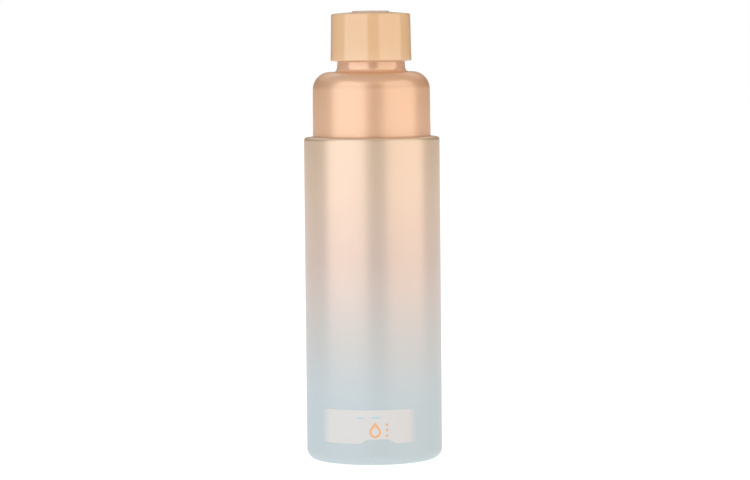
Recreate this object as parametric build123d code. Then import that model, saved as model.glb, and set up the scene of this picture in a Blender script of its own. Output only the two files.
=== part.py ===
"""Airless pump bottle for liquid foundation, 30 ml, with a pull-off cap.

Millimetres, +Z up. The origin is the centre of the base, on the surface that the bottle stands on.
The pump's nozzle and the printed shade label face -Y.
"""

from build123d import *
from math import cos, radians, sin
import os

# ---------------------------------------------------------------- driving dimensions
# Outer cup
BODY_R = 17.0            # outside radius
BODY_H = 80.95           # height of its rim's inner edge
BODY_BORE_R = 14.9       # bore that takes the shoulder's skirt
BODY_FLOOR = 2.6         # top of its floor
BASE_ROUND = 2.5         # rounding where the wall meets the base
BASE_RECESS_R = 11.0     # recess under the floor, which leaves a ring to stand on
BASE_RECESS = 0.8
RIM_ROUND = 0.9
RIM_FALL = 0.25          # the rim's top falls this far outwards
VENT_R = 0.8             # air comes in here as the follower rises
PLATE_VENT_R = 0.6
PLATE_VENT_AT = 6.0      # their distance from the axis
LOCATING_R = 13.95       # step that centres the inner bottle
LOCATING_H = 2.4

# Shoulder and neck ring
SHOULDER_TOP = 97.05
SHOULDER_R_LOW = 14.77   # at the rim of the cup
SHOULDER_R_HIGH = 14.6   # under its rounded top
SHOULDER_ROUND = 4.4
SHOULDER_WALL = 0.85
SKIRT_BOTTOM = 73.8      # the skirt reaches down inside the cup
SNAP_Z = 76.4            # snap bead between skirt and cup
SNAP_H = 1.0
SNAP_DEPTH = 0.12
NECK_R_LOW = 8.53        # visible ring between shoulder and cap
NECK_R_HIGH = 8.42
NECK_TOP = 99.65
NECK_FLARE = 0.6         # concave flare at its foot
SPIGOT_R = 7.9           # the cap's liner slides over this
SPIGOT_H = 2.2
SPIGOT_BEAD = 0.2
NECK_BORE_R = 6.9        # the pump head slides inside this

# Inner bottle
INNER_R = 13.85
INNER_BORE_R = 12.7
INNER_BOTTOM = 2.7
INNER_SHOULDER = 75.6    # top of the straight bore
INNER_NECK_BOTTOM = 79.2
INNER_NECK_TOP = 88.6
INNER_NECK_R = 11.2
INNER_NECK_BORE_R = 9.8
INNER_BEAD_Z = 85.0      # bead that the pump collar snaps over
INNER_BEAD_R = 11.7

# Follower piston
FOLLOWER_BOTTOM = 5.4
FOLLOWER_H = 8.2
FOLLOWER_LIP_R = 12.63
FOLLOWER_WAIST_R = 12.1
FOLLOWER_WELL_R = 7.2    # well in its top, which the pump dips into when the bottle is empty
FOLLOWER_SKIN = 1.2

# Pump
GASKET_H = 0.6
HOUSING_R = 5.6
HOUSING_BORE_R = 4.6
HOUSING_BOTTOM = 70.5
HOUSING_TOP = 90.6
HOUSING_FLANGE_R = 11.4
HOUSING_FLANGE_H = 1.4
INLET_BOTTOM = 68.0
INLET_R = 3.0
INLET_HOLE_R = 0.9
SEAT_PLUG_R = 4.0        # the valve seat is pressed into the housing
SEAT_FLANGE_H = 1.2
VALVE_POCKET_R = 2.4
VALVE_POCKET_TOP = 74.2
BALL_R = 1.6
BALL_GAP = 0.05          # ball to seat
BALL_LIFT = 0.7
GUIDE_H = 1.2
GUIDE_R = 7.2
GUIDE_PLUG_BOTTOM = 89.4
STEM_R = 2.2
STEM_BORE_R = 1.2
STEM_TOP = 106.6
SLIDE_GAP = 0.08         # radial clearance of every sliding fit in the pump
PLUNGER_FLANGE_R = 3.9
PLUNGER_FLANGE_Z = 83.8
PLUNGER_FLANGE_H = 1.0
PISTON_H = 3.0
PISTON_SHIFT = 0.8       # lost motion that opens the outlet ports
SPRING_R = 3.3           # mean radius
SPRING_WIRE_R = 0.25
SPRING_BOTTOM = 75.3
SPRING_TURNS = 6

# Pump collar
COLLAR_R = 13.6
COLLAR_BOTTOM = 80.4
COLLAR_TOP = 92.2
COLLAR_BORE_R = 12.0
COLLAR_HOLE_R = 7.3

# Pump head
HEAD_R = 6.6
HEAD_BOTTOM = 97.5
HEAD_TOP = 109.55
HEAD_CEILING = 105.75    # underside of its solid top
HEAD_WALL = 1.0
HEAD_BOSS_R = 3.6
HEAD_DISH_R = 18.0       # radius of the finger dish in its top
HEAD_DISH = 0.6
NOZZLE_Z = 107.65
NOZZLE_R = 1.3
NOZZLE_LENGTH = 2.2
NOZZLE_HOLE_R = 0.45

# Cap
CAP_R_LOW = 10.11
CAP_R_HIGH = 9.89
CAP_EDGE = 111.55        # top of its side wall
CAP_DOME = 112.1         # height of its gently domed top at the centre
CAP_ROUND = 0.45
CAP_BORE_R = 9.1
CAP_CEILING = 110.7
LINER_R = 9.05
LINER_BORE_R = 8.18
LINER_WEB = 0.65
DISC_R = 4.65
DISC_TOP = 112.22
DISC_SEAT = 111.35

# Shade label, a thin film let into the cup's wall
LABEL_Z = (5.6, 13.9)
LABEL_ANGLES = (-50.0, 37.0)   # degrees around the body from the front
LABEL_THICKNESS = 0.1


# ---------------------------------------------------------------- helpers
def turned(*corners):
    """A solid of revolution about Z, from the (radius, height) corners of its section."""
    outline = Polyline(*[(r, 0, z) for r, z in corners], close=True)
    return revolve(make_face(outline), Axis.Z)


def ring(r_in, r_out, low, high):
    return turned((r_in, low), (r_out, low), (r_out, high), (r_in, high))


def disc(radius, low, high):
    return turned((0, low), (radius, low), (radius, high), (0, high))


def circle_edges(part, radius, height):
    """The circular edges of this radius that lie at this height."""
    found = part.edges().filter_by(GeomType.CIRCLE)
    return [e for e in found if abs(e.radius - radius) < 0.01 and abs(e.center().Z - height) < 0.01]


def rounded(part, radius, height, size):
    return fillet(circle_edges(part, radius, height), size)


def around(count, part, start=0.0):
    """Copies of a part, evenly spaced about Z."""
    return [Rot(0, 0, start + 360 * i / count) * part for i in range(count)]


def pipe_y(radius, y_from, y_to, height):
    """A solid cylinder along Y, at a height on the pump's axis."""
    middle = (y_from + y_to) / 2
    return Pos(0, middle, height) * Rot(90, 0, 0) * Cylinder(radius, abs(y_to - y_from))


# ---------------------------------------------------------------- cup and inner bottle
def make_outer_body():
    """The thick-walled outer cup: bore, snap groove, locating step, foot ring and label recess."""
    step_top = BODY_FLOOR + LOCATING_H
    cup = turned(
        (0, BASE_RECESS),
        (BASE_RECESS_R, BASE_RECESS),
        (BASE_RECESS_R, 0),
        (BODY_R, 0),
        (BODY_R, BODY_H - RIM_FALL),
        (BODY_BORE_R, BODY_H),
        (BODY_BORE_R, SNAP_Z + SNAP_H),
        (BODY_BORE_R + SNAP_DEPTH, SNAP_Z + SNAP_H / 2),
        (BODY_BORE_R, SNAP_Z),
        (BODY_BORE_R, step_top),
        (LOCATING_R, step_top),
        (LOCATING_R, BODY_FLOOR),
        (0, BODY_FLOOR),
    )
    cup = rounded(cup, BODY_R, 0, BASE_ROUND)
    cup = rounded(cup, BODY_R, BODY_H - RIM_FALL, RIM_ROUND)
    cup -= disc(VENT_R, 0, BODY_FLOOR)
    return cup - label_film()


def label_film():
    start, end = LABEL_ANGLES
    film = ring(BODY_R - LABEL_THICKNESS, BODY_R, *LABEL_Z)
    # The front is at -90 degrees, and angles run to the right seen from there.
    sides = [radians(-90 + a) for a in (start, (start + end) / 2, end)]
    reach = 2 * BODY_R
    corners = [(reach * cos(a), reach * sin(a)) for a in sides]
    wedge = make_face(Polyline((0, 0), *corners, close=True))
    return film & extrude(wedge, LABEL_Z[1] + 1)


def make_inner_bottle():
    """The refill bottle: a straight bore for the follower, a sloped shoulder and a beaded neck."""
    wall = INNER_R - INNER_BORE_R
    return turned(
        (INNER_BORE_R, INNER_BOTTOM),
        (INNER_R, INNER_BOTTOM),
        (INNER_R, INNER_SHOULDER + 1.4),
        (INNER_NECK_R, INNER_NECK_BOTTOM),
        (INNER_NECK_R, INNER_BEAD_Z - 0.6),
        (INNER_BEAD_R, INNER_BEAD_Z),
        (INNER_NECK_R, INNER_BEAD_Z + 0.9),
        (INNER_NECK_R, INNER_NECK_TOP),
        (INNER_NECK_BORE_R, INNER_NECK_TOP),
        (INNER_NECK_BORE_R, INNER_NECK_BOTTOM - wall),
        (INNER_BORE_R, INNER_SHOULDER),
    )


def make_bottom_plate():
    """The vented plate that closes the inner bottle under the follower, with a ring of small vents."""
    low = INNER_BOTTOM + 0.1
    floor = low + 1.2
    plate = turned(
        (0, low),
        (INNER_BORE_R, low),
        (INNER_BORE_R, low + 2.4),
        (INNER_BORE_R - 1.3, low + 2.4),
        (INNER_BORE_R - 1.3, floor),
        (0, floor),
    )
    vent = Pos(PLATE_VENT_AT, 0, 0) * disc(PLATE_VENT_R, low, floor)
    for hole in around(3, vent, start=90):
        plate -= hole
    return plate


def make_follower_piston():
    """The piston that rises under the product: two sealing lips, a waist and a well in its top."""
    low = FOLLOWER_BOTTOM
    top = low + FOLLOWER_H
    well_floor = low + 0.8
    well_wall = FOLLOWER_WELL_R + FOLLOWER_SKIN
    outer_wall = FOLLOWER_WAIST_R - FOLLOWER_SKIN
    return turned(
        (0, well_floor),
        (well_wall, well_floor),
        (well_wall, top - FOLLOWER_SKIN),
        (outer_wall, top - FOLLOWER_SKIN),
        (outer_wall, low),
        (FOLLOWER_LIP_R, low),
        (FOLLOWER_LIP_R, low + 0.8),
        (FOLLOWER_WAIST_R, low + 1.8),
        (FOLLOWER_WAIST_R, top - 1.8),
        (FOLLOWER_LIP_R, top - 0.8),
        (FOLLOWER_LIP_R, top),
        (FOLLOWER_LIP_R - 0.5, top),
        (FOLLOWER_WAIST_R - 0.5, top - 0.7),
        (FOLLOWER_WELL_R, top - 0.7),
        (FOLLOWER_WELL_R, well_floor + FOLLOWER_SKIN),
        (0, well_floor + FOLLOWER_SKIN),
    )


# ---------------------------------------------------------------- shoulder, neck ring and label
def make_shoulder_shell():
    """The thin shoulder: a skirt with a snap bead, a slightly tapered wall and a rounded top."""
    inner = SHOULDER_R_HIGH - SHOULDER_WALL
    ceiling = SHOULDER_TOP - SHOULDER_WALL
    inner_low = SHOULDER_R_LOW - SHOULDER_WALL
    outside = turned(
        (0, SKIRT_BOTTOM),
        (SHOULDER_R_LOW, SKIRT_BOTTOM),
        (SHOULDER_R_LOW, SNAP_Z),
        (SHOULDER_R_LOW + SNAP_DEPTH, SNAP_Z + SNAP_H / 2),
        (SHOULDER_R_LOW, SNAP_Z + SNAP_H),
        (SHOULDER_R_LOW, BODY_H),
        (SHOULDER_R_HIGH, SHOULDER_TOP),
        (0, SHOULDER_TOP),
    )
    outside = rounded(outside, SHOULDER_R_HIGH, SHOULDER_TOP, SHOULDER_ROUND)
    hollow = turned(
        (0, SKIRT_BOTTOM),
        (inner_low, SKIRT_BOTTOM),
        (inner_low, BODY_H),
        (inner, ceiling),
        (0, ceiling),
    )
    hollow = rounded(hollow, inner, ceiling, SHOULDER_ROUND - SHOULDER_WALL)
    return outside - hollow - disc(SPIGOT_R + 0.05, ceiling - 1, SHOULDER_TOP)


def make_neck_ring():
    """The bright ring under the cap: a tube through the shoulder, and a spigot for the cap above."""
    under = SHOULDER_TOP - SHOULDER_WALL
    spigot_top = NECK_TOP + SPIGOT_H
    bead_z = spigot_top - 0.8
    flare = []
    for degrees in (0, 15, 30, 45, 60, 75, 90):
        a = radians(degrees)
        flare.append((NECK_R_LOW + NECK_FLARE * (1 - sin(a)), SHOULDER_TOP + NECK_FLARE * (1 - cos(a))))
    neck = turned(
        (NECK_BORE_R, COLLAR_TOP + 0.05),
        (SPIGOT_R, COLLAR_TOP + 0.05),
        (SPIGOT_R, under - 0.8),
        (SPIGOT_R + 0.3, under - 0.1),
        (SPIGOT_R, under - 0.05),
        (SPIGOT_R, SHOULDER_TOP),
        *flare,
        (NECK_R_HIGH, NECK_TOP),
        (SPIGOT_R, NECK_TOP),
        (SPIGOT_R, bead_z - 0.3),
        (SPIGOT_R + SPIGOT_BEAD, bead_z),
        (SPIGOT_R, bead_z + 0.5),
        (SPIGOT_R, spigot_top),
        (NECK_BORE_R, spigot_top),
    )
    return rounded(neck, NECK_R_HIGH, NECK_TOP, 0.15)


# ---------------------------------------------------------------- pump
def make_neck_gasket():
    return ring(INNER_NECK_BORE_R, INNER_NECK_R, INNER_NECK_TOP, INNER_NECK_TOP + GASKET_H)


def make_pump_housing():
    """The pump's cylinder: a sealing flange, the piston's bore and a socket for the valve seat."""
    flange_low = HOUSING_TOP - HOUSING_FLANGE_H
    return turned(
        (SEAT_PLUG_R + 0.05, HOUSING_BOTTOM),
        (HOUSING_R, HOUSING_BOTTOM),
        (HOUSING_R, flange_low),
        (HOUSING_FLANGE_R, flange_low),
        (HOUSING_FLANGE_R, HOUSING_TOP),
        (HOUSING_BORE_R, HOUSING_TOP),
        (HOUSING_BORE_R, VALVE_POCKET_TOP),
        (SEAT_PLUG_R + 0.05, VALVE_POCKET_TOP),
    )


def make_valve_seat():
    """The inlet fitting: an inlet hole, a 45 degree seat, and a pocket that guides the ball."""
    seat_top = HOUSING_BOTTOM + (VALVE_POCKET_R - INLET_HOLE_R)
    flange_top = HOUSING_BOTTOM - 0.05
    flange_low = flange_top - SEAT_FLANGE_H
    plug_top = VALVE_POCKET_TOP - 0.05
    return turned(
        (INLET_HOLE_R, INLET_BOTTOM),
        (INLET_R, INLET_BOTTOM),
        (INLET_R, flange_low),
        (HOUSING_R, flange_low),
        (HOUSING_R, flange_top),
        (SEAT_PLUG_R, flange_top),
        (SEAT_PLUG_R, plug_top),
        (VALVE_POCKET_R, plug_top),
        (VALVE_POCKET_R, seat_top),
        (INLET_HOLE_R, HOUSING_BOTTOM),
    )


def ball_height():
    """The ball's centre: it rests in the 45 degree seat, plus the gap."""
    apex = HOUSING_BOTTOM - INLET_HOLE_R
    return apex + BALL_R * 2**0.5 + BALL_GAP


def make_inlet_ball():
    return Pos(0, 0, ball_height()) * Sphere(BALL_R)


def make_ball_retainer():
    """The spoked disc that limits the ball's lift and carries the spring."""
    low = ball_height() + BALL_R + BALL_LIFT + BALL_GAP
    high = SPRING_BOTTOM - 0.05
    hub = disc(1.0, low, high)
    rim = ring(2.5, HOUSING_BORE_R, VALVE_POCKET_TOP, high)
    spoke_length = 2.7 - 0.8
    spoke = Pos(0.8 + spoke_length / 2, 0, (low + high) / 2) * Box(spoke_length, 0.7, high - low)
    retainer = hub + rim
    for arm in around(4, spoke):
        retainer += arm
    return retainer


def make_return_spring():
    low = SPRING_BOTTOM + SPRING_WIRE_R
    high = PLUNGER_FLANGE_Z - 0.05 - SPRING_WIRE_R
    pitch = (high - low) / SPRING_TURNS
    path = Pos(0, 0, low) * Helix(pitch, high - low, SPRING_R)
    wire = Plane(origin=path @ 0, z_dir=path % 0) * Circle(SPRING_WIRE_R)
    return sweep(wire, path)


def make_stem_guide():
    """The cover that closes the housing's top and guides the stem."""
    hole = STEM_R + SLIDE_GAP
    return turned(
        (hole, GUIDE_PLUG_BOTTOM),
        (HOUSING_BORE_R, GUIDE_PLUG_BOTTOM),
        (HOUSING_BORE_R, HOUSING_TOP),
        (GUIDE_R, HOUSING_TOP),
        (GUIDE_R, HOUSING_TOP + GUIDE_H),
        (hole, HOUSING_TOP + GUIDE_H),
    )


def piston_top():
    return PLUNGER_FLANGE_Z + PLUNGER_FLANGE_H + 0.05 + PISTON_H


def make_pump_stem():
    """The hollow stem, with the collar that pushes the piston down and stops against the guide."""
    collar_low = piston_top() + PISTON_SHIFT + 0.05
    collar_high = GUIDE_PLUG_BOTTOM - 0.05
    stem_low = PLUNGER_FLANGE_Z + PLUNGER_FLANGE_H + 1.4
    return turned(
        (STEM_BORE_R, stem_low),
        (STEM_R, stem_low),
        (STEM_R, collar_low),
        (3.1, collar_low),
        (3.1, collar_high),
        (STEM_R, collar_high),
        (STEM_R, STEM_TOP),
        (STEM_BORE_R, STEM_TOP),
    )


def make_plunger():
    """The plunger under the stem: a flange that closes the piston's ports, and a fluted shank."""
    flange_top = PLUNGER_FLANGE_Z + PLUNGER_FLANGE_H
    shank_top = flange_top + 7.0
    shank_r = STEM_BORE_R - 0.02
    plunger = turned(
        (0, PLUNGER_FLANGE_Z - 2.6),
        (1.4, PLUNGER_FLANGE_Z - 2.6),
        (1.9, PLUNGER_FLANGE_Z - 2.1),
        (1.9, PLUNGER_FLANGE_Z),
        (PLUNGER_FLANGE_R, PLUNGER_FLANGE_Z),
        (PLUNGER_FLANGE_R, flange_top),
        (shank_r, flange_top),
        (shank_r, shank_top),
        (0, shank_top),
    )
    flute = Pos(1.15, 0, (flange_top + shank_top) / 2 + 0.1) * Cylinder(0.45, shank_top - flange_top)
    for cut in around(4, flute):
        plunger -= cut
    return plunger


def make_pump_piston():
    """The sliding seal between stem and housing, with a lip at each end."""
    low = PLUNGER_FLANGE_Z + PLUNGER_FLANGE_H + 0.05
    top = piston_top()
    lip = HOUSING_BORE_R - SLIDE_GAP
    waist = lip - 0.5
    bore = STEM_R + SLIDE_GAP
    return turned(
        (bore, low),
        (lip - 0.4, low),
        (lip, low + 0.3),
        (lip, low + 0.8),
        (waist, low + 1.2),
        (waist, top - 1.2),
        (lip, top - 0.8),
        (lip, top - 0.3),
        (lip - 0.4, top),
        (bore, top),
    )


def make_pump_collar():
    """The closure that clamps the pump on the inner bottle's neck, with grip flutes outside."""
    web_low = HOUSING_TOP + 0.05
    collar = turned(
        (COLLAR_BORE_R, COLLAR_BOTTOM),
        (COLLAR_R, COLLAR_BOTTOM),
        (COLLAR_R, COLLAR_TOP - 1.0),
        (COLLAR_R - 1.0, COLLAR_TOP),
        (COLLAR_HOLE_R, COLLAR_TOP),
        (COLLAR_HOLE_R, web_low),
        (HOUSING_FLANGE_R + 0.1, web_low),
        (HOUSING_FLANGE_R + 0.1, INNER_NECK_TOP),
        (COLLAR_BORE_R, INNER_NECK_TOP - 0.5),
        (COLLAR_BORE_R, INNER_BEAD_Z - 0.4),
        (INNER_NECK_R + 0.15, INNER_BEAD_Z - 1.0),
        (INNER_NECK_R + 0.15, INNER_BEAD_Z - 1.8),
        (COLLAR_BORE_R, INNER_BEAD_Z - 2.6),
    )
    flute = Pos(COLLAR_R + 0.25, 0, COLLAR_BOTTOM + 4.4) * Cylinder(0.6, 9.2)
    for cut in around(24, flute):
        collar -= cut
    return collar


# ---------------------------------------------------------------- pump head
def make_pump_head():
    """The head that a finger presses: dished top, stem socket, and a channel to the nozzle."""
    head = disc(HEAD_R, HEAD_BOTTOM, HEAD_TOP)
    head = rounded(head, HEAD_R, HEAD_TOP, 0.5)
    head -= ring(HEAD_BOSS_R, HEAD_R - HEAD_WALL, HEAD_BOTTOM, HEAD_CEILING)
    head -= disc(HEAD_BOSS_R, HEAD_BOTTOM, HEAD_BOTTOM + 2.0)
    head -= disc(STEM_R + 0.05, HEAD_BOTTOM, STEM_TOP + 0.05)
    head -= disc(0.8, STEM_TOP, NOZZLE_Z)
    head -= pipe_y(0.6, 0.3, -HEAD_R, NOZZLE_Z)
    head -= pipe_y(NOZZLE_R, -HEAD_R + NOZZLE_LENGTH, -HEAD_R - 1, NOZZLE_Z)
    head -= Pos(0, 0, HEAD_TOP - HEAD_DISH + HEAD_DISH_R) * Sphere(HEAD_DISH_R)
    return head


def make_nozzle_insert():
    insert = pipe_y(NOZZLE_R, -HEAD_R + NOZZLE_LENGTH, -HEAD_R, NOZZLE_Z)
    insert -= pipe_y(NOZZLE_HOLE_R, 0, -HEAD_R - 1, NOZZLE_Z)
    return insert & disc(HEAD_R - 0.02, HEAD_BOTTOM, HEAD_TOP)


# ---------------------------------------------------------------- cap
def cap_top_arc():
    """The radius of the sphere that domes the cap's top, from its rise and its width."""
    rise = CAP_DOME - CAP_EDGE
    return (CAP_R_HIGH**2 + rise**2) / (2 * rise)


def make_cap_shell():
    """The glossy outer cap: slightly tapered, gently domed, with a seat for the top disc."""
    dome_r = cap_top_arc()
    cap = turned((0, NECK_TOP), (CAP_R_LOW, NECK_TOP), (CAP_R_HIGH, CAP_EDGE), (0, CAP_EDGE))
    dome = Pos(0, 0, CAP_DOME - dome_r) * Sphere(dome_r)
    cap += dome & disc(CAP_R_HIGH, CAP_EDGE - 0.05, CAP_DOME + 0.1)
    cap = rounded(cap, CAP_R_HIGH, CAP_EDGE, CAP_ROUND)
    cap = rounded(cap, CAP_R_LOW, NECK_TOP, 0.2)
    cap -= disc(CAP_BORE_R, NECK_TOP, CAP_CEILING)
    return cap - disc(DISC_R + 0.03, DISC_SEAT, DISC_TOP)


def make_cap_liner():
    """The inner cap that slides over the spigot."""
    low = NECK_TOP + 0.05
    top = CAP_CEILING
    return turned(
        (LINER_BORE_R, low),
        (LINER_R, low),
        (LINER_R, top),
        (0, top),
        (0, top - LINER_WEB),
        (LINER_BORE_R, top - LINER_WEB),
    )


def make_cap_disc():
    inlay = disc(DISC_R, DISC_SEAT, DISC_TOP)
    return rounded(inlay, DISC_R, DISC_TOP, 0.25)


# ---------------------------------------------------------------- every sub-part, by name
SUBPARTS = {
    "outer_body": make_outer_body,
    "shade_label": label_film,
    "inner_bottle": make_inner_bottle,
    "bottom_plate": make_bottom_plate,
    "follower_piston": make_follower_piston,
    "shoulder_shell": make_shoulder_shell,
    "neck_ring": make_neck_ring,
    "pump_collar": make_pump_collar,
    "neck_gasket": make_neck_gasket,
    "pump_housing": make_pump_housing,
    "valve_seat": make_valve_seat,
    "inlet_ball": make_inlet_ball,
    "ball_retainer": make_ball_retainer,
    "return_spring": make_return_spring,
    "stem_guide": make_stem_guide,
    "pump_stem": make_pump_stem,
    "plunger": make_plunger,
    "pump_piston": make_pump_piston,
    "pump_head": make_pump_head,
    "nozzle_insert": make_nozzle_insert,
    "cap_shell": make_cap_shell,
    "cap_liner": make_cap_liner,
    "cap_disc": make_cap_disc,
}

os.makedirs("parts", exist_ok=True)
for node, make in SUBPARTS.items():
    export_step(make(), f"parts/{node}.step")
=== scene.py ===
"""The looks of an airless pump bottle for liquid foundation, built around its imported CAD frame.

Metres, +Z up, the bottle's axis on Z and its front facing -Y. Lengths written as N * MM are millimetres.
"""

import bpy
import bmesh
import math
from mathutils import Euler, Matrix, Vector


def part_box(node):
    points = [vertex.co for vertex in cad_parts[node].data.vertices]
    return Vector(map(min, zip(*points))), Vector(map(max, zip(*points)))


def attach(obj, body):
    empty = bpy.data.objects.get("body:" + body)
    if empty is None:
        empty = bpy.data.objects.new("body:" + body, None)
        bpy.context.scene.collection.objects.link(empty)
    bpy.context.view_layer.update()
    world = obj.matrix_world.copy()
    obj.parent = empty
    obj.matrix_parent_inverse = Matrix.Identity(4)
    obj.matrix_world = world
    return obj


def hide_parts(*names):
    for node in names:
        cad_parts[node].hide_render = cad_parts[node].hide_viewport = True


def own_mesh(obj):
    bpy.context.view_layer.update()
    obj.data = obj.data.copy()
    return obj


MM = 0.001

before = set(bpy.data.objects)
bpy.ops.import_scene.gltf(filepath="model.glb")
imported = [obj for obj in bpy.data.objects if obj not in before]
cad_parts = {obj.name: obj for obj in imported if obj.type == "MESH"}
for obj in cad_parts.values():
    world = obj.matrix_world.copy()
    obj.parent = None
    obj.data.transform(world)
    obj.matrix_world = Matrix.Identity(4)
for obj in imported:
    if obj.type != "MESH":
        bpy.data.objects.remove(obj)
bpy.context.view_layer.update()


# ---------------------------------------------------------------- sizes, read from the frame
def low(node):
    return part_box(node)[0].z


def top(node):
    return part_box(node)[1].z


def radius(node):
    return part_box(node)[1].x


BODY_R = radius("outer_body")
BODY_TOP = top("outer_body")
SHOULDER_TOP = top("shoulder_shell")
NECK_TOP = low("cap_shell")
SPIGOT_TOP = top("neck_ring")
CAP_TOP = top("cap_shell")
DISC_R = radius("cap_disc")
DISC_LOW, DISC_TOP = low("cap_disc"), top("cap_disc")
LABEL_LOW, LABEL_TOP = low("shade_label"), top("shade_label")
HEAD_R = radius("pump_head")
HEAD_LOW, HEAD_TOP = low("pump_head"), top("pump_head")
NOZZLE_Z = (low("nozzle_insert") + top("nozzle_insert")) / 2
NOZZLE_DEPTH = 2.2 * MM
LINER_TOP = top("cap_liner")

# The label's print, as arc lengths to the right of the front: its two ends, and where it is fully opaque.
LABEL_LEFT, LABEL_RIGHT = -15.2 * MM, 11.4 * MM
SOLID_LEFT, SOLID_RIGHT = -11.6 * MM, 8.4 * MM


# ---------------------------------------------------------------- camera
CAMERA_DISTANCE = 0.70
CAMERA_HEIGHT = 96.9 * MM
CAMERA_ASIDE = 0.57 * MM      # the bottle stands a little left of the picture's middle
CAMERA_LENS = 134.1
CAMERA_DOWN = math.radians(3.44)
CAMERA_ROLL = math.radians(-0.545)


def make_camera():
    data = bpy.data.cameras.new("camera")
    data.sensor_width = 36.0
    data.lens = CAMERA_LENS
    data.clip_start, data.clip_end = 0.01, 50.0
    camera = bpy.data.objects.new("camera", data)
    camera.location = (CAMERA_ASIDE, -CAMERA_DISTANCE, CAMERA_HEIGHT)
    aim = Euler((math.pi / 2 - CAMERA_DOWN, 0, 0)).to_matrix()
    camera.rotation_euler = (aim @ Matrix.Rotation(CAMERA_ROLL, 3, "Z")).to_euler()
    bpy.context.scene.collection.objects.link(camera)
    bpy.context.scene.camera = camera


# ---------------------------------------------------------------- light and floor
WHITE = (1.0, 1.0, 1.0)
WARM = (1.0, 0.91, 0.82)      # the right side's light, against the left's white
SOFTBOX_DISTANCE, SOFTBOX_WIDTH, SOFTBOX_HEIGHT = 0.55, 0.80, 0.70
FLOOR_REACH = 6.0
FLOOR_LEVEL = -0.02 * MM      # just clear of the cup's foot, so that the two don't share a plane
FLOOR_GLOW = 0.93             # with the softboxes' light it comes out white


def make_world():
    """A dim room, bright high up at the back, as the bottle reflects it. The camera sees a white backdrop."""
    world = bpy.data.worlds.new("studio")
    world.use_nodes = True
    tree = world.node_tree
    split = tree.nodes.new("ShaderNodeSeparateXYZ")
    tree.links.new(tree.nodes.new("ShaderNodeTexCoord").outputs["Generated"], split.inputs[0])
    x, y, z = split.outputs  # a direction, of length 1
    not_zero = 0.0001
    level = maths(tree, "SQRT", add(tree, squared(tree, x), squared(tree, y), not_zero))
    # 0 is behind the camera, 0.5 is to the side and 1 is behind the bottle.
    facing = remap(tree, maths(tree, "DIVIDE", y, level), -1, 1, 0, 1)
    around = ramp(tree, facing, [
        (0.00, grey(0.06)),
        (0.30, grey(0.08)),
        (0.46, grey(0.24)),
        (0.80, grey(0.17)),
        (0.95, grey(0.15)),
        (1.00, grey(0.36)),
    ])
    overhead = rising(tree, z, 0.24, 0.72)
    sky = remap(tree, y, 0.40, 0.85, 0.58, 1.55, smooth=True)
    room = mix_colour(tree, overhead, around, sky)
    warm_side = rising(tree, x, -0.1, 0.3)
    tinted = mix_colour(tree, warm_side, room, WARM, "MULTIPLY")
    direct = tree.nodes.new("ShaderNodeLightPath").outputs["Is Camera Ray"]
    seen = mix_colour(tree, direct, tinted, WHITE)
    tree.links.new(seen, tree.nodes["Background"].inputs["Color"])
    bpy.context.scene.world = world
    bpy.context.scene.view_settings.view_transform = "Standard"


def softbox(name, azimuth, radiance, colour):
    """A rectangular light that stands on the floor. Azimuth is in degrees to the right of the front."""
    data = bpy.data.lights.new(name, "AREA")
    data.shape = "RECTANGLE"
    data.size, data.size_y = SOFTBOX_WIDTH, SOFTBOX_HEIGHT
    data.energy = radiance * math.pi * SOFTBOX_WIDTH * SOFTBOX_HEIGHT
    data.color = colour
    light = bpy.data.objects.new(name, data)
    a = math.radians(azimuth)
    outwards = Vector((math.sin(a), -math.cos(a), 0))
    light.location = outwards * SOFTBOX_DISTANCE + Vector((0, 0, SOFTBOX_HEIGHT / 2))
    light.rotation_euler = (-outwards).to_track_quat("-Z", "Y").to_euler()
    light.visible_camera = False
    bpy.context.scene.collection.objects.link(light)


def make_lights():
    softbox("softbox_left", -45, 1.28, WHITE)
    softbox("softbox_right", 59, 1.09, WARM)


def make_floor():
    mesh = bpy.data.meshes.new("floor")
    sides = ((-1, -1), (1, -1), (1, 1), (-1, 1))
    corners = [(x * FLOOR_REACH, y * FLOOR_REACH, FLOOR_LEVEL) for x, y in sides]
    mesh.from_pydata(corners, [], [(0, 1, 2, 3)])
    floor = bpy.data.objects.new("floor", mesh)
    bpy.context.scene.collection.objects.link(floor)
    material, _, shader = new_material("floor_white")
    set_shader(
        shader, Base_Color=(*grey(0.35), 1.0), Roughness=0.9, Specular_IOR_Level=0.0,
        Emission_Color=(*WHITE, 1.0), Emission_Strength=FLOOR_GLOW)
    mesh.materials.append(material)


# ---------------------------------------------------------------- material helpers
def grey(value):
    return (value, value, value)


def new_material(name):
    material = bpy.data.materials.new(name)
    material.use_nodes = True
    tree = material.node_tree
    return material, tree, tree.nodes["Principled BSDF"]


def principled(tree, **values):
    shader = tree.nodes.new("ShaderNodeBsdfPrincipled")
    set_shader(shader, **values)
    return shader


def set_shader(shader, **values):
    """Sets a shader's sockets by name, with underscores for spaces."""
    for key, value in values.items():
        shader.inputs[key.replace("_", " ")].default_value = value


def ramp(tree, source, stops):
    """A colour ramp with (position, colour) stops, fed by a socket. Colours are linear RGB."""
    node = tree.nodes.new("ShaderNodeValToRGB")
    elements = node.color_ramp.elements
    while len(elements) < len(stops):
        elements.new(0.5)
    for element, (position, colour) in zip(elements, stops):
        element.position = position
        element.color = (*colour, 1.0)
    tree.links.new(source, node.inputs["Fac"])
    return node.outputs["Color"]


def feed(tree, socket, value):
    """Sets a socket to a number or a colour, or links it to another socket."""
    if isinstance(value, (int, float)):
        socket.default_value = value
    elif isinstance(value, tuple):
        socket.default_value = (*value, 1.0)
    else:
        tree.links.new(value, socket)


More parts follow.
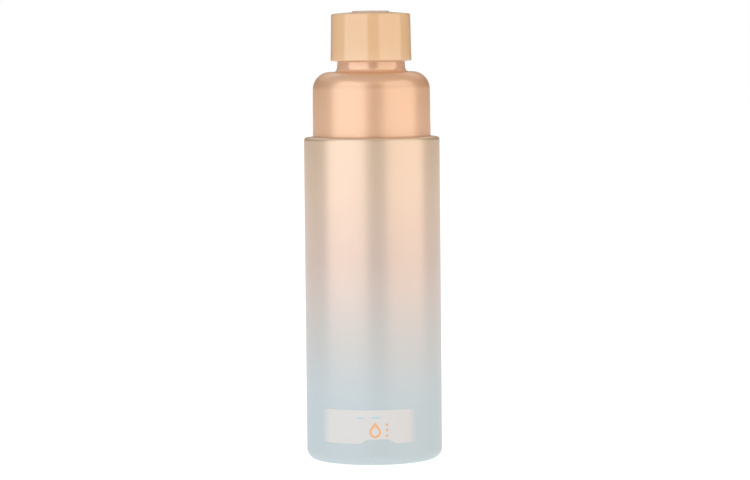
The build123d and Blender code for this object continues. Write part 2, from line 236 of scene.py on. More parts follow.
def maths(tree, operation, *values):
    node = tree.nodes.new("ShaderNodeMath")
    node.operation = operation
    for socket, value in zip(node.inputs, values):
        feed(tree, socket, value)
    return node.outputs[0]


def mix_colour(tree, factor, a, b, blend="MIX"):
    node = tree.nodes.new("ShaderNodeMix")
    node.data_type = "RGBA"
    node.blend_type = blend
    # A Mix node has a set of sockets for each data type, and these are its factor and the RGBA ones.
    for index, value in ((0, factor), (6, a), (7, b)):
        feed(tree, node.inputs[index], value)
    return node.outputs[2]


def mix_shader(tree, factor, a, b):
    node = tree.nodes.new("ShaderNodeMixShader")
    for socket, value in zip(node.inputs, (factor, a.outputs[0], b.outputs[0])):
        feed(tree, socket, value)
    return node


def remap(tree, value, from_low, from_high, to_low, to_high, smooth=False):
    """Carries one range over to another. It holds the end values outside it."""
    node = tree.nodes.new("ShaderNodeMapRange")
    if smooth:
        node.interpolation_type = "SMOOTHSTEP"
    limits = ("From Min", from_low), ("From Max", from_high), ("To Min", to_low), ("To Max", to_high)
    for name, limit in limits:
        node.inputs[name].default_value = limit
    tree.links.new(value, node.inputs["Value"])
    return node.outputs["Result"]


def place(tree, axis=None):
    """The piece's own coordinates, which are the frame's at rest and move with the piece."""
    where = tree.nodes.new("ShaderNodeTexCoord").outputs["Object"]
    if axis is None:
        return where
    split = tree.nodes.new("ShaderNodeSeparateXYZ")
    tree.links.new(where, split.inputs[0])
    return split.outputs[axis]


def turned_place(tree):
    """Coordinates unrolled from the axis: arc length to the right of the front, height and radius."""
    split = tree.nodes.new("ShaderNodeSeparateXYZ")
    tree.links.new(place(tree), split.inputs[0])
    x, y, z = split.outputs
    reach = maths(tree, "SQRT", add(tree, squared(tree, x), squared(tree, y)))
    angle = maths(tree, "ARCTAN2", x, scaled(tree, y, -1))
    joined = tree.nodes.new("ShaderNodeCombineXYZ")
    tree.links.new(maths(tree, "MULTIPLY", angle, reach), joined.inputs[0])
    tree.links.new(z, joined.inputs[1])
    tree.links.new(reach, joined.inputs[2])
    return joined.outputs[0]


def noise(tree, scale, detail=2.0, stretch=(1, 1, 1), where=None):
    """Noise with this many features to a metre, stretched along the axes. 0..1."""
    mapping = tree.nodes.new("ShaderNodeMapping")
    mapping.inputs["Scale"].default_value = stretch
    tree.links.new(where if where is not None else place(tree), mapping.inputs["Vector"])
    texture = tree.nodes.new("ShaderNodeTexNoise")
    texture.inputs["Scale"].default_value = scale
    texture.inputs["Detail"].default_value = detail
    tree.links.new(mapping.outputs[0], texture.inputs["Vector"])
    return texture.outputs["Fac"]


def flecks(tree, scale):
    """A random value, 0..1, for each cell of a fine Voronoi pattern: mica flakes in a coating."""
    texture = tree.nodes.new("ShaderNodeTexVoronoi")
    texture.inputs["Scale"].default_value = scale
    tree.links.new(place(tree), texture.inputs["Vector"])
    return remap(tree, texture.outputs["Color"], 0, 1, 0, 1)  # the cell's colour, as one number


def hairlines(tree, scale, stretch):
    """Thin lines, 1 along a line and 0 beside it, where a stretched noise crosses its middle."""
    half_width = 0.012
    wave = noise(tree, scale, detail=1.0, stretch=stretch)
    distance = maths(tree, "ABSOLUTE", maths(tree, "SUBTRACT", wave, 0.5))
    return remap(tree, distance, 0, half_width, 1, 0)


def add(tree, *values):
    total = values[0]
    for value in values[1:]:
        total = maths(tree, "ADD", total, value)
    return total


def scaled(tree, value, factor):
    return maths(tree, "MULTIPLY", value, factor)


def squared(tree, value):
    return scaled(tree, value, value)


def rising(tree, value, start, end):
    """0 below start and 1 above end, with a smooth rise between them."""
    return remap(tree, value, start, end, 0, 1, smooth=True)


def bump(tree, height, distance, *shaders):
    """Bump of a height field, where 1 stands this far proud."""
    node = tree.nodes.new("ShaderNodeBump")
    node.inputs["Distance"].default_value = distance
    feed(tree, node.inputs["Height"], height)
    for shader in shaders:
        tree.links.new(node.outputs[0], shader.inputs["Normal"])


def use(tree, shader):
    tree.links.new(shader.outputs[0], tree.nodes["Material Output"].inputs["Surface"])


# ---------------------------------------------------------------- materials of the visible pieces
def pearl_nodes(tree):
    """The cup's sprayed coat: mica flakes over a base, both fading from peach to pale blue."""
    drift = remap(tree, noise(tree, 45, 3.0, stretch=(1, 1, 0.5)), 0, 1, -0.02, 0.02)
    along = maths(tree, "ADD", remap(tree, place(tree, "Z"), 0, BODY_TOP, 0, 1), drift)
    base_colour = ramp(tree, along, [
        (0.00, (0.40, 0.49, 0.52)),
        (0.20, (0.39, 0.49, 0.525)),
        (0.37, (0.345, 0.435, 0.46)),
        (0.62, (0.385, 0.39, 0.36)),
        (0.82, (0.48, 0.40, 0.30)),
        (1.00, (0.51, 0.375, 0.235)),
    ])
    flake_share = ramp(tree, along, [
        (0.00, grey(0.16)),
        (0.18, grey(0.18)),
        (0.36, grey(0.32)),
        (0.55, grey(0.42)),
        (1.00, grey(0.46)),
    ])
    flake_colour = ramp(tree, along, [
        (0.00, (0.94, 0.92, 0.95)),
        (0.18, (0.93, 0.87, 0.91)),
        (0.36, (0.93, 0.73, 0.65)),
        (0.62, (0.93, 0.61, 0.49)),
        (1.00, (0.93, 0.70, 0.56)),
    ])
    fleck = flecks(tree, 9000)
    peel = noise(tree, 1300, 2.0)
    base = principled(tree, Roughness=0.5, Specular_IOR_Level=0.3)
    flakes = principled(tree, Metallic=1.0)
    tree.links.new(base_colour, base.inputs["Base Color"])
    glint = mix_colour(tree, 0.10, flake_colour, remap(tree, fleck, 0, 1, 0.75, 1.15))
    tree.links.new(glint, flakes.inputs["Base Color"])
    handled = remap(tree, noise(tree, 90, 4.0), 0.3, 0.7, 0.30, 0.325)
    sparkle = remap(tree, fleck, 0, 1, -0.01, 0.01)
    tree.links.new(add(tree, handled, sparkle), flakes.inputs["Roughness"])
    bump(tree, add(tree, scaled(tree, peel, 0.6), scaled(tree, fleck, 0.12)), 0.0013 * MM, base, flakes)
    return mix_shader(tree, flake_share, base, flakes)


def pearl_coat():
    material, tree, spare = new_material("pearl_coat")
    tree.nodes.remove(spare)
    use(tree, pearl_nodes(tree))
    return material


def label_film():
    """An ivory print that fades into the coat towards both of its ends."""
    opacity = 0.92
    material, tree, film = new_material("label_film")
    paper = noise(tree, 260, 4.0)
    tint = mix_colour(tree, paper, (0.645, 0.64, 0.635), (0.68, 0.675, 0.67))
    tree.links.new(tint, film.inputs["Base Color"])
    set_shader(film, Specular_IOR_Level=0.2)
    tree.links.new(remap(tree, paper, 0.3, 0.7, 0.58, 0.66), film.inputs["Roughness"])
    bump(tree, noise(tree, 5200, 2.0), 0.003 * MM, film)
    split = tree.nodes.new("ShaderNodeSeparateXYZ")
    tree.links.new(turned_place(tree), split.inputs[0])
    across = split.outputs[0]
    left = rising(tree, across, LABEL_LEFT, SOLID_LEFT)
    right = remap(tree, across, SOLID_RIGHT, LABEL_RIGHT, 1, 0, smooth=True)
    shown = scaled(tree, scaled(tree, left, right), opacity)
    use(tree, mix_shader(tree, shown, pearl_nodes(tree), film))
    return material


def ink(name, colour):
    """Screen-printed ink, with a fine grain."""
    material, tree, shader = new_material(name)
    grain = noise(tree, 3000, 3.0)
    dark = tuple(c * 0.93 for c in colour)
    tree.links.new(mix_colour(tree, grain, dark, colour), shader.inputs["Base Color"])
    tree.links.new(remap(tree, grain, 0.3, 0.7, 0.42, 0.55), shader.inputs["Roughness"])
    bump(tree, grain, 0.002 * MM, shader)
    return material


def peach_satin():
    """The shoulder: a fine blasted and dyed surface, with a pale sheen over a warmer ground."""
    material, tree, base = new_material("peach_satin")
    grain = noise(tree, 9000, 2.0)
    cloud = noise(tree, 70, 4.0)
    ground = mix_colour(tree, cloud, (0.615, 0.335, 0.185), (0.655, 0.365, 0.205))
    tree.links.new(ground, base.inputs["Base Color"])
    set_shader(base, Roughness=0.5, Specular_IOR_Level=0.3)
    sheen = principled(tree, Metallic=1.0)
    tree.links.new(
        mix_colour(tree, grain, (0.89, 0.655, 0.50), (0.97, 0.725, 0.565)), sheen.inputs["Base Color"])
    handled = remap(tree, noise(tree, 120, 4.0), 0.3, 0.7, 0.29, 0.34)
    tree.links.new(handled, sheen.inputs["Roughness"])
    bump(tree, add(tree, grain, scaled(tree, cloud, 0.5)), 0.0022 * MM, base, sheen)
    use(tree, mix_shader(tree, 0.38, base, sheen))
    return material


def peach_bright():
    """The neck ring: dyed metal, diamond turned, so its roughness runs in fine rings."""
    material, tree, base = new_material("peach_bright")
    lathe = noise(tree, 2400, 2.0, stretch=(0.02, 0.02, 1))
    rub = noise(tree, 160, 4.0)
    tree.links.new(
        mix_colour(tree, rub, (0.85, 0.535, 0.35), (0.89, 0.575, 0.375)), base.inputs["Base Color"])
    set_shader(base, Roughness=0.4, Specular_IOR_Level=0.4)
    metal = principled(tree, Metallic=1.0)
    tree.links.new(
        mix_colour(tree, lathe, (0.84, 0.60, 0.45), (0.91, 0.67, 0.51)), metal.inputs["Base Color"])
    tree.links.new(
        add(tree, remap(tree, lathe, 0.3, 0.7, 0.13, 0.19), remap(tree, rub, 0.4, 0.8, 0, 0.04)),
        metal.inputs["Roughness"])
    bump(tree, lathe, 0.0012 * MM, metal)
    use(tree, mix_shader(tree, 0.30, base, metal))
    return material


def peach_gloss():
    """The cap: high-gloss moulded plastic, with faint flow clouds and hair-thin handling marks."""
    material, tree, shader = new_material("peach_gloss")
    flow = noise(tree, 60, 3.0, stretch=(1, 1, 0.35))
    tree.links.new(
        mix_colour(tree, flow, (0.695, 0.438, 0.243), (0.725, 0.468, 0.263)), shader.inputs["Base Color"])
    set_shader(shader, IOR=1.62, Specular_IOR_Level=0.75)
    marks = maths(
        tree, "MAXIMUM",
        hairlines(tree, 260, (1, 1, 0.10)),
        hairlines(tree, 210, (0.16, 0.5, 1)))
    worn = scaled(tree, marks, rising(tree, noise(tree, 130, 2.0), 0.55, 0.75))
    rough = add(tree, remap(tree, noise(tree, 200, 4.0), 0.3, 0.7, 0.10, 0.14), scaled(tree, worn, 0.10))
    tree.links.new(rough, shader.inputs["Roughness"])
    bump(tree, add(tree, noise(tree, 420, 2.0), scaled(tree, worn, -0.25)), 0.0022 * MM, shader)
    return material


def disc_satin():
    """The cap's inlay: a pale satin disc, spun, so its lines run round its centre."""
    material, tree, shader = new_material("disc_satin")
    grain = noise(tree, 6000, 3.0)
    spun = noise(tree, 1500, 2.0, where=turned_place(tree), stretch=(0.02, 1, 1))
    tree.links.new(
        mix_colour(tree, spun, (0.66, 0.54, 0.45), (0.74, 0.62, 0.53)), shader.inputs["Base Color"])
    set_shader(shader, Metallic=0.15)
    tree.links.new(remap(tree, grain, 0.3, 0.7, 0.38, 0.48), shader.inputs["Roughness"])
    bump(tree, add(tree, grain, spun), 0.002 * MM, shader)
    return material


# ---------------------------------------------------------------- materials of the inner pieces
def moulded(name, dark, light, rough=(0.42, 0.52), coat=0.0, glow=0.0):
    """Moulded plastic: spark-eroded grain, a cloudy melt and faint vertical flow lines."""
    material, tree, shader = new_material(name)
    cloud = noise(tree, 140, 4.0)
    flow = noise(tree, 500, 2.0, stretch=(1, 1, 0.12))
    melt = add(tree, scaled(tree, cloud, 0.7), scaled(tree, flow, 0.3))
    tree.links.new(mix_colour(tree, melt, dark, light), shader.inputs["Base Color"])
    grain = noise(tree, 3500, 3.0)
    tree.links.new(remap(tree, grain, 0.3, 0.7, *rough), shader.inputs["Roughness"])
    set_shader(
        shader, Coat_Weight=coat, Coat_Roughness=0.08, Subsurface_Weight=glow, Subsurface_Scale=0.6 * MM)
    bump(tree, add(tree, grain, scaled(tree, flow, 0.8)), 0.004 * MM, shader)
    return material


def seal_soft():
    """A soft seal: matt, faintly dusty."""
    material, tree, shader = new_material("seal_soft")
    dust = noise(tree, 700, 5.0)
    tree.links.new(
        mix_colour(tree, dust, (0.50, 0.50, 0.48), (0.63, 0.63, 0.60)), shader.inputs["Base Color"])
    tree.links.new(remap(tree, dust, 0.3, 0.7, 0.55, 0.75), shader.inputs["Roughness"])
    bump(tree, dust, 0.006 * MM, shader)
    return material


def steel(name, rough, drawn):
    """Stainless steel: drawn wire has lines along its turns, a polished ball has a few fine marks."""
    material, tree, shader = new_material(name)
    stretch = (0.03, 1, 1) if drawn else (1, 1, 1)
    lines = noise(tree, 4200, 3.0, where=turned_place(tree), stretch=stretch)
    tree.links.new(
        mix_colour(tree, lines, (0.52, 0.52, 0.53), (0.66, 0.66, 0.68)), shader.inputs["Base Color"])
    set_shader(shader, Metallic=1.0)
    tree.links.new(remap(tree, lines, 0.3, 0.7, *rough), shader.inputs["Roughness"])
    bump(tree, lines, 0.0015 * MM, shader)
    return material


# ---------------------------------------------------------------- turned meshes
def rounded_outline(corners, steps=8):
    """Points of a closed outline. Corners are (radius, height, rounding), each rounded in so many steps."""
    points = []
    count = len(corners)
    for i, (r, z, rounding) in enumerate(corners):
        here = Vector((r, z))
        if rounding <= 0:
            points.append(here)
            continue
        before = Vector(corners[i - 1][:2]) - here
        after = Vector(corners[(i + 1) % count][:2]) - here
        a, b = before.normalized(), after.normalized()
        half = a.angle(b) / 2
        reach = rounding / math.tan(half)
        centre = here + (a + b).normalized() * (rounding / math.sin(half))
        start, end = here + a * reach - centre, here + b * reach - centre
        sweep = start.angle_signed(end)
        for k in range(steps + 1):
            turn = -sweep * k / steps
            c, s = math.cos(turn), math.sin(turn)
            points.append(centre + Vector((start.x * c - start.y * s, start.x * s + start.y * c)))
    return points


def turned_mesh(outline, segments):
    """A bmesh solid of revolution about Z from a closed outline of (radius, height)."""
    on_axis = 1e-7
    bm = bmesh.new()
    angles = [2 * math.pi * k / segments for k in range(segments)]
    rings = []
    for r, z in outline:
        if r < on_axis:
            rings.append([bm.verts.new((0, 0, z))])
        else:
            rings.append([bm.verts.new((r * math.cos(a), r * math.sin(a), z)) for a in angles])
    for i, ring in enumerate(rings):
        following = rings[(i + 1) % len(rings)]
        if len(ring) == 1 and len(following) == 1:
            continue
        for k in range(segments):
            n = (k + 1) % segments
            if len(ring) == 1:
                bm.faces.new((ring[0], following[n], following[k]))
            elif len(following) == 1:
                bm.faces.new((ring[k], ring[n], following[0]))
            else:
                bm.faces.new((ring[k], ring[n], following[n], following[k]))
    bmesh.ops.recalc_face_normals(bm, faces=bm.faces)
    return bm


def piece_from(name, bm, sharp=35):
    """A new object from a bmesh, smooth but for its edges sharper than this many degrees."""
    mesh = bpy.data.meshes.new(name)
    bm.to_mesh(mesh)
    bm.free()
    smooth_but(mesh, sharp)
    piece = bpy.data.objects.new(name, mesh)
    bpy.context.scene.collection.objects.link(piece)
    return piece


def smooth_but(mesh, sharp):
    mesh.polygons.foreach_set("use_smooth", [True] * len(mesh.polygons))
    mesh.set_sharp_from_angle(angle=math.radians(sharp))


def turned(name, corners, segments=192, steps=8, sharp=35):
    return piece_from(name, turned_mesh(rounded_outline(corners, steps), segments), sharp)


def cut(piece, cutter):
    """Takes the cutter's volume out of a piece, and removes the cutter."""
    modifier = piece.modifiers.new("cut", "BOOLEAN")
    modifier.object = cutter
    modifier.solver = "EXACT"
    evaluated = piece.evaluated_get(bpy.context.evaluated_depsgraph_get())
    mesh = bpy.data.meshes.new_from_object(evaluated)
    piece.modifiers.remove(modifier)
    piece.data = mesh
    smooth_but(mesh, 30)
    bpy.data.objects.remove(cutter)


def finish_piece(piece, body, slot, material, *replaced):
    piece.data.materials.clear()
    piece.data.materials.append(material)
    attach(piece, body)
    if replaced:
        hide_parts(*replaced)


# ---------------------------------------------------------------- cup
def make_body(material):
    bore, floor = 14.9 * MM, 2.6 * MM
    vent, recess = 0.8 * MM, 0.8 * MM
    foot = 11.0 * MM
    rib = 0.25 * MM           # a low ring rib in the recess
    rim_fall = 0.25 * MM      # the rim's top falls this far outwards
    corners = [
        (vent, floor, 0),
        (vent, recess, 0.1 * MM),
        (4.0 * MM, recess, 0),
        (4.1 * MM, recess - rib, 0.08 * MM),
        (4.6 * MM, recess - rib, 0.08 * MM),
        (4.7 * MM, recess, 0),
        (foot, recess, 0.3 * MM),
        (foot + 0.05 * MM, 0, 0.2 * MM),
        (BODY_R, 0, 2.5 * MM),
        (BODY_R, BODY_TOP - rim_fall, 0.9 * MM),
        (bore, BODY_TOP, 0.12 * MM),
        (bore, floor, 0.5 * MM),
    ]
    piece = turned("body_cup", corners, segments=256, steps=14)
    finish_piece(piece, "pack", "pearl_coat", material, "outer_body")


def on_cup(across, z, proud):
    """A point over the cup's wall: arc length to the right of the front, height, distance off the wall."""
    angle = across / BODY_R
    r = BODY_R + proud
    return (r * math.sin(angle), -r * math.cos(angle), z)


def band_on_cup(bm, outer, inner, depths):
    """A closed band wrapped on the cup between two loops of (arc length, height) with equally many points."""
    rings = []
    for depth in depths:
        for loop in (outer, inner):
            rings.append([bm.verts.new(on_cup(across, z, depth)) for across, z in loop])
    low_out, low_in, top_out, top_in = rings
    for k in range(len(outer)):
        n = (k + 1) % len(outer)
        for p, q in ((top_out, top_in), (low_in, low_out), (low_out, top_out), (top_in, low_in)):
            bm.faces.new((p[k], p[n], q[n], q[k]))


def bar_on_cup(bm, left, right, z, height, depths):
    """A bar with round ends, or a dot when its length equals its height, wrapped on the cup."""
    r = height / 2
    column_gap = 0.3 * MM     # short enough that the bar's chords stay over the label
    steps, start = 8, 0.25    # an end starts a quarter step in, so that it isn't a point
    columns = []
    for k in range(steps + 1):
        a = math.pi / 2 * (k + start) / (steps + 2 * start)
        columns.append((left + r - r * math.cos(a), r * math.sin(a)))
    straight = right - left - height
    between = int(straight / column_gap)
    middle = [(left + r + straight * (k + 1) / (between + 1), r) for k in range(between)]
    columns += middle + [(left + right - across, half) for across, half in reversed(columns)]
    layers = [[[bm.verts.new(on_cup(across, z + side * half, depth)) for side in (-1, 1)]
               for across, half in columns] for depth in depths]
    under, over = layers
    for k in range(len(columns) - 1):
        n = k + 1
        bm.faces.new((over[k][0], over[n][0], over[n][1], over[k][1]))
        bm.faces.new((under[k][1], under[n][1], under[n][0], under[k][0]))
        for side in (0, 1):
            bm.faces.new((under[k][side], under[n][side], over[n][side], over[k][side]))
    for k in (0, -1):
        bm.faces.new((under[k][0], under[k][1], over[k][1], over[k][0]))


def drop_loop(across, z, r, tip):
    """A drop's outline: a round bottom of this radius under a tip this far above its centre."""
    points, taper, hollowness = 64, 0.92, 1.6
    loop = []
    for k in range(points):
        a = 2 * math.pi * k / points
        lift = max(math.cos(a), 0.0)
        narrowing = 1 - taper * lift**hollowness
        rise = tip * lift if lift else r * math.cos(a)
        loop.append((across + r * math.sin(a) * narrowing, z + rise))
    return loop


def make_mark(orange, blue):
    """A generic mark on the label: a drop and three dots, under two short dashes."""
    depths = (0.02 * MM, 0.05 * MM)
    bm = bmesh.new()
    across, z, r, tip, stroke = 0.15 * MM, 8.5 * MM, 1.45 * MM, 2.5 * MM, 0.5 * MM
    outer, inner = drop_loop(across, z, r, tip), drop_loop(across, z, r - stroke, tip - 2.1 * stroke)
    band_on_cup(bm, outer, inner, depths)
    dot, dots_across, first_dot, dot_pitch = 0.66 * MM, 3.1 * MM, 7.6 * MM, 1.35 * MM
    for k in range(3):
        dot_z = first_dot + dot_pitch * k
        bar_on_cup(bm, dots_across - dot / 2, dots_across + dot / 2, dot_z, dot, depths)
    bmesh.ops.recalc_face_normals(bm, faces=bm.faces)
    finish_piece(piece_from("mark_drop", bm, 40), "pack", "label_film", orange)
    bm = bmesh.new()
    for left, right, dash_z, thick in ((-4.3, -2.6, 11.95, 0.4), (-0.6, 1.5, 12.05, 0.45)):
        bar_on_cup(bm, left * MM, right * MM, dash_z * MM, thick * MM, depths)
    bmesh.ops.recalc_face_normals(bm, faces=bm.faces)
    finish_piece(piece_from("mark_dashes", bm, 40), "pack", "label_film", blue)


def arch_height(across):
    """The label's lower edge is scooped a little under the mark."""
    middle, flat, reach, height = 0.9 * MM, 2.3 * MM, 4.7 * MM, 1.05 * MM
    offset = abs(across - middle)
    t = min(max((reach - offset) / (reach - flat), 0.0), 1.0)
    return height * t * t * (3 - 2 * t)


def make_label(material):
    """The film, as a thin patch over the cup."""
    columns, rows = 96, 8
    proud, buried = 0.03 * MM, 0.01 * MM
    corner = 0.5 * MM
    bm = bmesh.new()
    layers = []
    for depth in (-buried, proud):
        grid = []
        for i in range(columns + 1):
            across = LABEL_LEFT + (LABEL_RIGHT - LABEL_LEFT) * i / columns
            edge = min(across - LABEL_LEFT, LABEL_RIGHT - across)
            trim = corner - math.sqrt(max(corner**2 - (corner - edge) ** 2, 0)) if edge < corner else 0.0
            z0, z1 = LABEL_LOW + trim + arch_height(across), LABEL_TOP - trim
            heights = [z0 + (z1 - z0) * j / rows for j in range(rows + 1)]
            grid.append([bm.verts.new(on_cup(across, z, depth)) for z in heights])
        layers.append(grid)
    for grid in layers:
        for i in range(columns):
            for j in range(rows):
                bm.faces.new((grid[i][j], grid[i + 1][j], grid[i + 1][j + 1], grid[i][j + 1]))
    under, over = layers
    rim = [(i, 0) for i in range(columns)] + [(columns, j) for j in range(rows)]
    rim += [(i, rows) for i in range(columns, 0, -1)] + [(0, j) for j in range(rows, 0, -1)]
    for k, (i, j) in enumerate(rim):
        m, n = rim[(k + 1) % len(rim)]
        bm.faces.new((under[i][j], under[m][n], over[m][n], over[i][j]))
    bmesh.ops.recalc_face_normals(bm, faces=bm.faces)
    piece = piece_from("label_print", bm, 40)
    finish_piece(piece, "pack", "label_film", material, "shade_label")


# ---------------------------------------------------------------- shoulder and neck ring
def make_shoulder(material):
    wall, rounding = 0.85 * MM, 4.4 * MM
    low_r, high_r = 14.77 * MM, 14.6 * MM
    hole = 7.95 * MM
    skirt = low("shoulder_shell")
    corners = [
        (low_r - wall, skirt, 0),
        (low_r, skirt, 0.2 * MM),
        (low_r, BODY_TOP, 0),
        (high_r, SHOULDER_TOP, rounding),
        (hole, SHOULDER_TOP, 0.1 * MM),
        (hole, SHOULDER_TOP - wall, 0),
        (high_r - wall, SHOULDER_TOP - wall, rounding - wall),
    ]
    piece = turned("shoulder", corners, segments=224, steps=18)
    finish_piece(piece, "pack", "peach_satin", material, "shoulder_shell")


def make_neck_ring(material):
    bore, spigot = 6.9 * MM, 7.9 * MM
    ring_low, ring_high = 8.53 * MM, 8.42 * MM
    bead = SPIGOT_TOP - 0.8 * MM
    reach, rise, steps = 0.8 * MM, 1.2 * MM, 12
    flare = []
    for k in range(steps + 1):
        a = math.pi / 2 * k / steps
        flare.append((ring_low + reach * (1 - math.sin(a)), SHOULDER_TOP + rise * (1 - math.cos(a)), 0))
    corners = [
        (bore, low("neck_ring"), 0),
        (spigot, low("neck_ring"), 0),
        (spigot, SHOULDER_TOP, 0),
        *flare,
        (ring_high, NECK_TOP, 0.12 * MM),
        (spigot, NECK_TOP, 0.05 * MM),
        (spigot, bead - 0.3 * MM, 0),
        (spigot + 0.2 * MM, bead, 0.1 * MM),
        (spigot, bead + 0.5 * MM, 0),
        (spigot, SPIGOT_TOP, 0.18 * MM),
        (bore, SPIGOT_TOP, 0.18 * MM),
    ]
    piece = turned("neck_collar", corners)
    finish_piece(piece, "pack", "peach_bright", material, "neck_ring")


# ---------------------------------------------------------------- cap
def make_cap(material):
    low_r, high_r = 10.11 * MM, 9.89 * MM
    rise = 0.55 * MM
    edge = CAP_TOP - rise
    bore, ceiling = 9.1 * MM, LINER_TOP
    seat_r, seat = DISC_R + 0.03 * MM, DISC_LOW
    arc, steps = (high_r**2 + rise**2) / (2 * rise), 12
    dome_points = []
    for k in range(1, steps):
        r = high_r + (seat_r - high_r) * k / steps
        dome_points.append((r, CAP_TOP - arc + math.sqrt(arc**2 - r**2), 0))
    seat_edge = CAP_TOP - arc + math.sqrt(arc**2 - seat_r**2)
    corners = [
        (bore, NECK_TOP, 0.1 * MM),
        (low_r, NECK_TOP, 0.2 * MM),
        (high_r, edge, 0.5 * MM),
        *dome_points,
        (seat_r, seat_edge, 0.05 * MM),
        (seat_r, seat, 0),
        (0, seat, 0),
        (0, ceiling, 0),
        (bore, ceiling, 0),
    ]
    piece = turned("cap_outer", corners, segments=224, steps=10, sharp=30)
    finish_piece(piece, "cap", "peach_gloss", material, "cap_shell")


def make_disc(material):
    corners = [
        (0, DISC_LOW, 0),
        (DISC_R, DISC_LOW, 0),
        (DISC_R, DISC_TOP - 0.06 * MM, 0.22 * MM),
        (0, DISC_TOP, 0),
    ]
    piece = turned("cap_inlay", corners, segments=160)
    finish_piece(piece, "cap", "disc_satin", material, "cap_disc")


# ---------------------------------------------------------------- pump head
def make_head(material):
    """The pump's button: a dished shell with a boss for the stem, a groove round it and the nozzle's bore."""
    wall, boss, socket = 1.0 * MM, 3.6 * MM, 2.25 * MM
    ceiling, socket_top, boss_low = HEAD_TOP - 3.8 * MM, HEAD_TOP - 2.9 * MM, HEAD_LOW + 2.0 * MM
    dish_r, dish = 18.0 * MM, 0.6 * MM
    dish_edge = math.sqrt(dish_r**2 - (dish_r - dish) ** 2)
    centre = HEAD_TOP - dish + dish_r
    hollow, steps = [], 12
    for k in range(1, steps):
        r = dish_edge * (1 - k / steps)
        hollow.append((r, centre - math.sqrt(dish_r**2 - r**2), 0))
    groove, groove_depth = HEAD_LOW + 3.4 * MM, 0.12 * MM
    corners = [
        (0, socket_top, 0),
        (socket, socket_top, 0.15 * MM),
        (socket, boss_low, 0.25 * MM),
        (boss, boss_low, 0.25 * MM),
        (boss, ceiling, 0.4 * MM),
        (HEAD_R - wall, ceiling, 0.4 * MM),
        (HEAD_R - wall, HEAD_LOW, 0.2 * MM),
        (HEAD_R, HEAD_LOW, 0.3 * MM),
        (HEAD_R, groove, 0.06 * MM),
        (HEAD_R - groove_depth, groove + 0.12 * MM, 0.06 * MM),
        (HEAD_R - groove_depth, groove + 0.30 * MM, 0.06 * MM),
        (HEAD_R, groove + 0.42 * MM, 0.06 * MM),
        (HEAD_R, HEAD_TOP, 0.5 * MM),
        (dish_edge, HEAD_TOP, 0.25 * MM),
        *hollow,
        (0, HEAD_TOP - dish, 0),
    ]
    piece = turned("head_button", corners, sharp=30)
    counterbore, channel, overshoot = 1.3 * MM, 0.5 * MM, 1.0 * MM
    for r, inner_y in ((counterbore, -HEAD_R + NOZZLE_DEPTH), (channel, 0.0)):
        length = inner_y + HEAD_R + overshoot
        bpy.ops.mesh.primitive_cylinder_add(
            vertices=64, radius=r, depth=length, location=(0, inner_y - length / 2, NOZZLE_Z),
            rotation=(math.pi / 2, 0, 0))
        cut(piece, bpy.context.object)
    finish_piece(piece, "head", "head_gloss", material, "pump_head")


def make_nozzle(material):
    """The nozzle's insert, turned about its own bore: a collar and a cone down to the orifice."""
    r, orifice = 1.28 * MM, 0.45 * MM
    front = NOZZLE_DEPTH - 0.16 * MM
    corners = [
        (orifice, 0, 0.05 * MM),
        (r, 0, 0.1 * MM),
        (r, front, 0.12 * MM),
        (r - 0.35 * MM, front, 0.06 * MM),
        (orifice + 0.08 * MM, front - 0.35 * MM, 0.05 * MM),
        (orifice, front - 0.5 * MM, 0.05 * MM),
    ]
    piece = turned("head_nozzle", corners, segments=96)
    back = Matrix.Translation((0, -HEAD_R + NOZZLE_DEPTH, NOZZLE_Z))
    piece.data.transform(back @ Matrix.Rotation(math.pi / 2, 4, "X"))
    finish_piece(piece, "head", "white_plastic", material, "nozzle_insert")


# ---------------------------------------------------------------- the inner pieces, kept as they are
def dress(material, *nodes):
    for node in nodes:
        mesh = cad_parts[node].data
        mesh.materials.clear()
        mesh.materials.append(material)


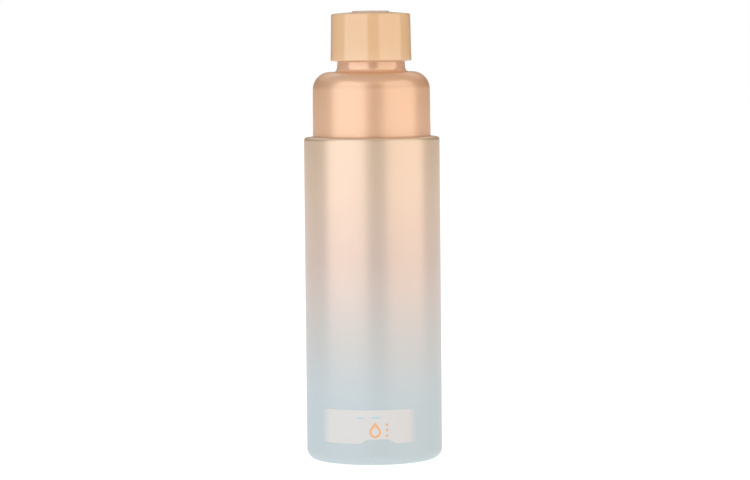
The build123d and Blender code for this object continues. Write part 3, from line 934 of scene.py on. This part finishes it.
def make_spring(material):
    """The return spring: round wire, with a closed turn at each end."""
    coil_r, wire_r = 3.3 * MM, 0.25 * MM
    bottom, height = low("return_spring"), top("return_spring") - low("return_spring")
    turns, closed_pitch = 6, 0.52 * MM
    open_pitch = (height - 2 * wire_r - 2 * closed_pitch) / (turns - 2)
    steps, sides = 48, 12
    bm = bmesh.new()
    rings = []
    for k in range(turns * steps + 1):
        t = k / steps
        z = bottom + wire_r + closed_pitch * (min(t, 1) + max(t - turns + 1, 0))
        z += open_pitch * min(max(t - 1, 0), turns - 2)
        a = 2 * math.pi * t
        ring = []
        for j in range(sides):
            b = 2 * math.pi * j / sides
            r = coil_r + wire_r * math.cos(b)
            ring.append(bm.verts.new((r * math.cos(a), r * math.sin(a), z + wire_r * math.sin(b))))
        rings.append(ring)
    for first, second in zip(rings, rings[1:]):
        for j in range(sides):
            n = (j + 1) % sides
            bm.faces.new((first[j], first[n], second[n], second[j]))
    bm.faces.new(rings[0])
    bm.faces.new(rings[-1])
    bmesh.ops.recalc_face_normals(bm, faces=bm.faces)
    piece = piece_from("spring_coil", bm, 50)
    finish_piece(piece, "pack", "spring_steel", material, "return_spring")
    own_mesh(piece)


def dress_inner(white):
    natural = moulded(
        "natural_plastic", (0.72, 0.72, 0.68), (0.82, 0.82, 0.78), rough=(0.36, 0.48), glow=0.15)
    dress(natural, "inner_bottle", "bottom_plate", "pump_housing", "cap_liner")
    dress(white, "follower_piston", "pump_collar", "valve_seat", "ball_retainer", "stem_guide", "pump_stem",
          "plunger")
    dress(seal_soft(), "neck_gasket", "pump_piston")
    make_spring(steel("spring_steel", (0.26, 0.38), drawn=True))
    dress(steel("ball_steel", (0.07, 0.13), drawn=False), "inlet_ball")


# ---------------------------------------------------------------- the scene
make_camera()
make_world()
make_lights()
make_floor()

make_body(pearl_coat())
make_label(label_film())
make_shoulder(peach_satin())
make_neck_ring(peach_bright())
make_cap(peach_gloss())
make_disc(disc_satin())
make_mark(ink("ink_orange", (0.84, 0.44, 0.20)), ink("ink_blue", (0.46, 0.645, 0.725)))

white = moulded("white_plastic", (0.78, 0.78, 0.77), (0.88, 0.88, 0.87))
make_head(moulded("head_gloss", (0.80, 0.76, 0.68), (0.88, 0.84, 0.77), rough=(0.16, 0.24), coat=0.4))
make_nozzle(white)
dress_inner(white)
